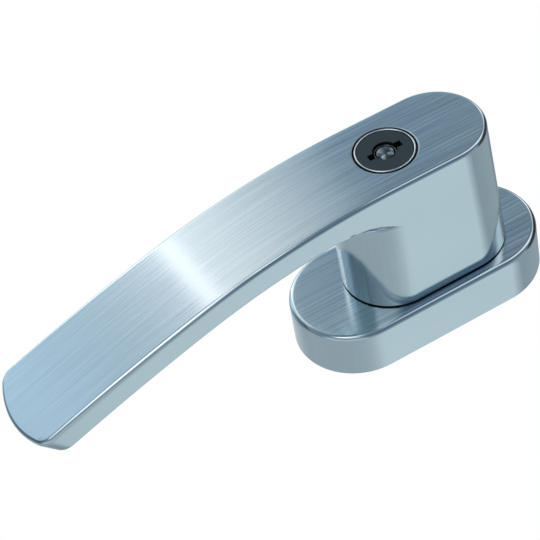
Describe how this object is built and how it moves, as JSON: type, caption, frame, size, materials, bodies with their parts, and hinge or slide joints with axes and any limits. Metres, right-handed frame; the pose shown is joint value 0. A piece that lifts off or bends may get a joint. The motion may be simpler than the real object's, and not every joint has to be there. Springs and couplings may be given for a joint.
{
  "type": "lockable window handle",
  "caption": "Flat brushed window handle on an oval rosette, bent down towards its tip, with a key-operated lock barrel in its head and a square socket at the back.",
  "frame": {"origin": "middle of the rosette's back face, on the axis that the handle turns about", "axes": "+Z out of the window into the room, -X along the lever at rest, Y across the lever"},
  "size_m": [0.1359, 0.0316, 0.0531],
  "materials": {
    "cover_steel": "brushed along the long side, satin",
    "lever_steel": "brushed along the lever, satin",
    "zinc": "plain casting",
    "spring_steel": "rolled sheet",
    "plain_steel": "bright",
    "dark_steel": "blackened",
    "spring_wire": "drawn wire",
    "polymer": "moulded",
    "brass": "turned",
    "bright_ring": "polished",
    "lock_face": "dark satin"
  },
  "bodies": {
    "rosette": {"cover": "cover_steel", "base_plate": "zinc", "index_plate": "spring_steel", "rivet_left": "plain_steel", "rivet_right": "plain_steel", "bearing_bush": "brass", "guide_ring": "polymer", "thrust_washer": "polymer"},
    "handle": {"lever": "lever_steel", "hub": "zinc", "grub_screw": "dark_steel", "retaining_ring": "dark_steel", "lock_housing": "zinc", "lock_bezel": "bright_ring", "housing_pin": "plain_steel", "detent_spring_rear": "spring_wire", "detent_spring_front": "spring_wire", "bolt_spring": "spring_wire"},
    "ball_rear": {"detent_ball_rear": "plain_steel"},
    "ball_front": {"detent_ball_front": "plain_steel"},
    "bolt": {"lock_bolt": "plain_steel"},
    "plug": {"lock_plug": "lock_face", "tumbler_1": "brass", "tumbler_2": "brass", "tumbler_3": "brass", "tumbler_4": "brass", "plug_cam": "zinc", "cam_pin": "plain_steel", "shutter_spring": "spring_wire"},
    "shutter": {"keyhole_shutter": "bright_ring"}
  },
  "joints": [
    {"name": "handle_turn", "type": "hinge", "parent": "rosette", "child": "handle", "pos_m": [0, 0, 0.02], "axis": [0, 0, 1], "range_deg": [-180, 180]},
    {"name": "plug_turn", "type": "hinge", "parent": "handle", "child": "plug", "pos_m": [-0.003, 0, 0.043], "axis": [0, 0, 1], "range_deg": [0, 90]},
    {"name": "bolt_slide", "type": "slide", "parent": "handle", "child": "bolt", "axis": [0, 0, -1], "range_m": [0, 0.0025], "deforming": ["bolt_spring"]},
    {"name": "shutter_slide", "type": "slide", "parent": "plug", "child": "shutter", "axis": [0, 0, -1], "range_m": [0, 0.006], "stiffness_N_per_m": 80, "springref_m": -0.003, "deforming": ["shutter_spring"]},
    {"name": "ball_rear_drop", "type": "slide", "parent": "handle", "child": "ball_rear", "axis": [0, 0, -1], "range_m": [0, 0.0006], "deforming": ["detent_spring_rear"]},
    {"name": "ball_front_drop", "type": "slide", "parent": "handle", "child": "ball_front", "axis": [0, 0, -1], "range_m": [0, 0.0006], "deforming": ["detent_spring_front"]}
  ],
  "couplings": [
    {"joint": "bolt_slide", "follows": "plug_turn", "m_per_rad": 0.0015915}
  ]
}
